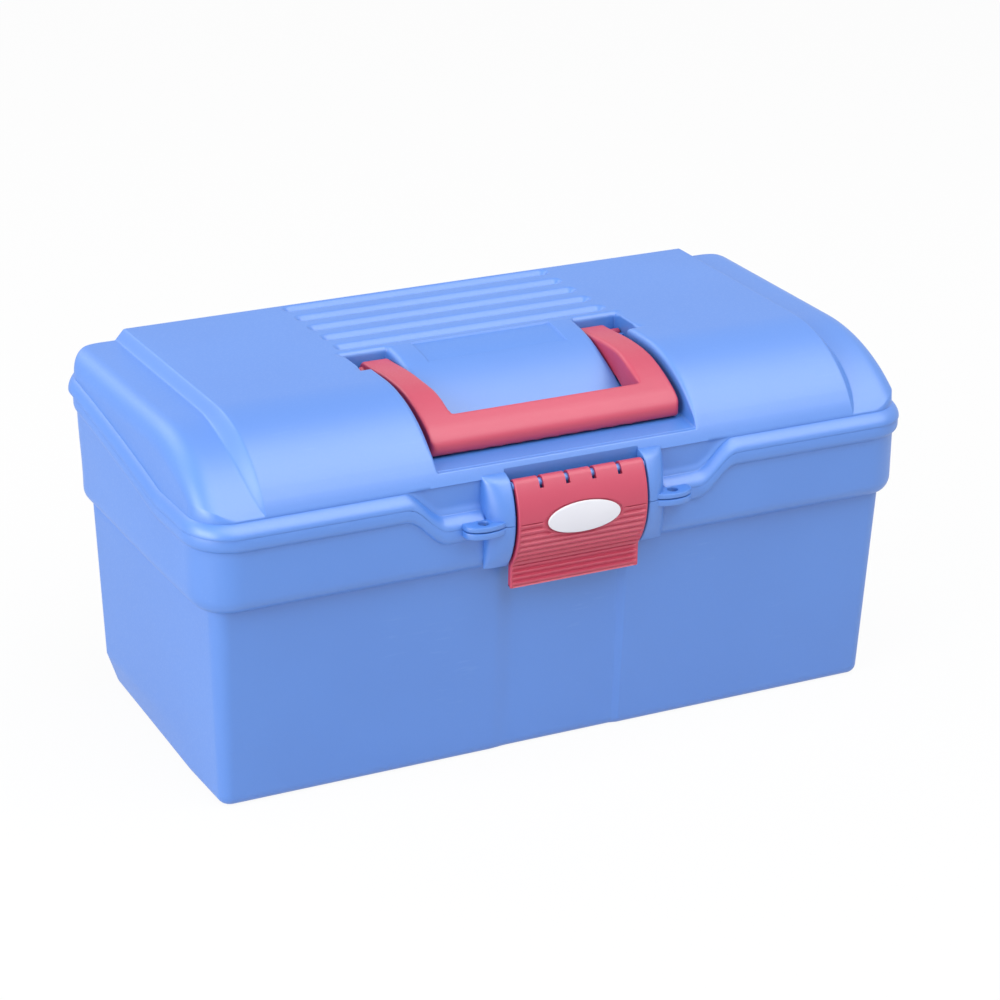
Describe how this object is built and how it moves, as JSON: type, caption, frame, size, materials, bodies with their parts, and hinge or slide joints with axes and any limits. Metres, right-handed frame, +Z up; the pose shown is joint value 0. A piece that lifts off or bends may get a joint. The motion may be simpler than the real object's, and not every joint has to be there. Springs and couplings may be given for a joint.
{
  "type": "grooming box",
  "caption": "Moulded plastic carry box with a hinged domed lid, a folding handle sunk into the lid, a front snap latch with padlock eyes and a lift-out tray.",
  "frame": {"origin": "middle of the floor's underside, on the surface the box stands on", "axes": "+Z up, +X along the length to the right when facing the latch, -Y towards the latch at the front"},
  "size_m": [0.4, 0.2076, 0.191],
  "materials": {
    "blue_plastic": "fine moulded grain, satin",
    "red_plastic": "satin",
    "badge_white": "semi-gloss",
    "tray_plastic": "satin",
    "steel_pin": "drawn wire"
  },
  "bodies": {
    "tub": {"tub_shell": "blue_plastic", "tub_catch": "blue_plastic", "tub_cheek_left": "blue_plastic", "tub_cheek_right": "blue_plastic", "tub_hinge_left": "blue_plastic", "tub_hinge_right": "blue_plastic", "hinge_pin_left": "steel_pin", "hinge_pin_right": "steel_pin"},
    "lid": {"lid_shell": "blue_plastic", "lid_cheek_left": "blue_plastic", "lid_cheek_right": "blue_plastic", "lid_hinge_left": "blue_plastic", "lid_hinge_right": "blue_plastic", "latch_bar": "blue_plastic", "handle_seat_left": "blue_plastic", "handle_seat_right": "blue_plastic"},
    "handle": {"carry_handle": "red_plastic"},
    "latch": {"latch": "red_plastic", "latch_badge": "badge_white"},
    "tray": {"lift_out_tray": "tray_plastic"}
  },
  "joints": [
    {"name": "lid_hinge", "type": "hinge", "parent": "tub", "child": "lid", "pos_m": [0, 0.0994, 0.1687], "axis": [-1, 0, 0], "range_deg": [0, 105]},
    {"name": "handle_fold", "type": "hinge", "parent": "lid", "child": "handle", "pos_m": [0, 0.00571, 0.1823], "axis": [-1, 0, 0], "range_deg": [0, 100]},
    {"name": "latch_flip", "type": "hinge", "parent": "lid", "child": "latch", "pos_m": [0, -0.0946, 0.1508], "axis": [-1, 0, 0], "range_deg": [0, 100]},
    {"name": "tray_lift", "type": "slide", "parent": "tub", "child": "tray", "axis": [0, 0, 1], "range_m": [0, 0.018]}
  ]
}
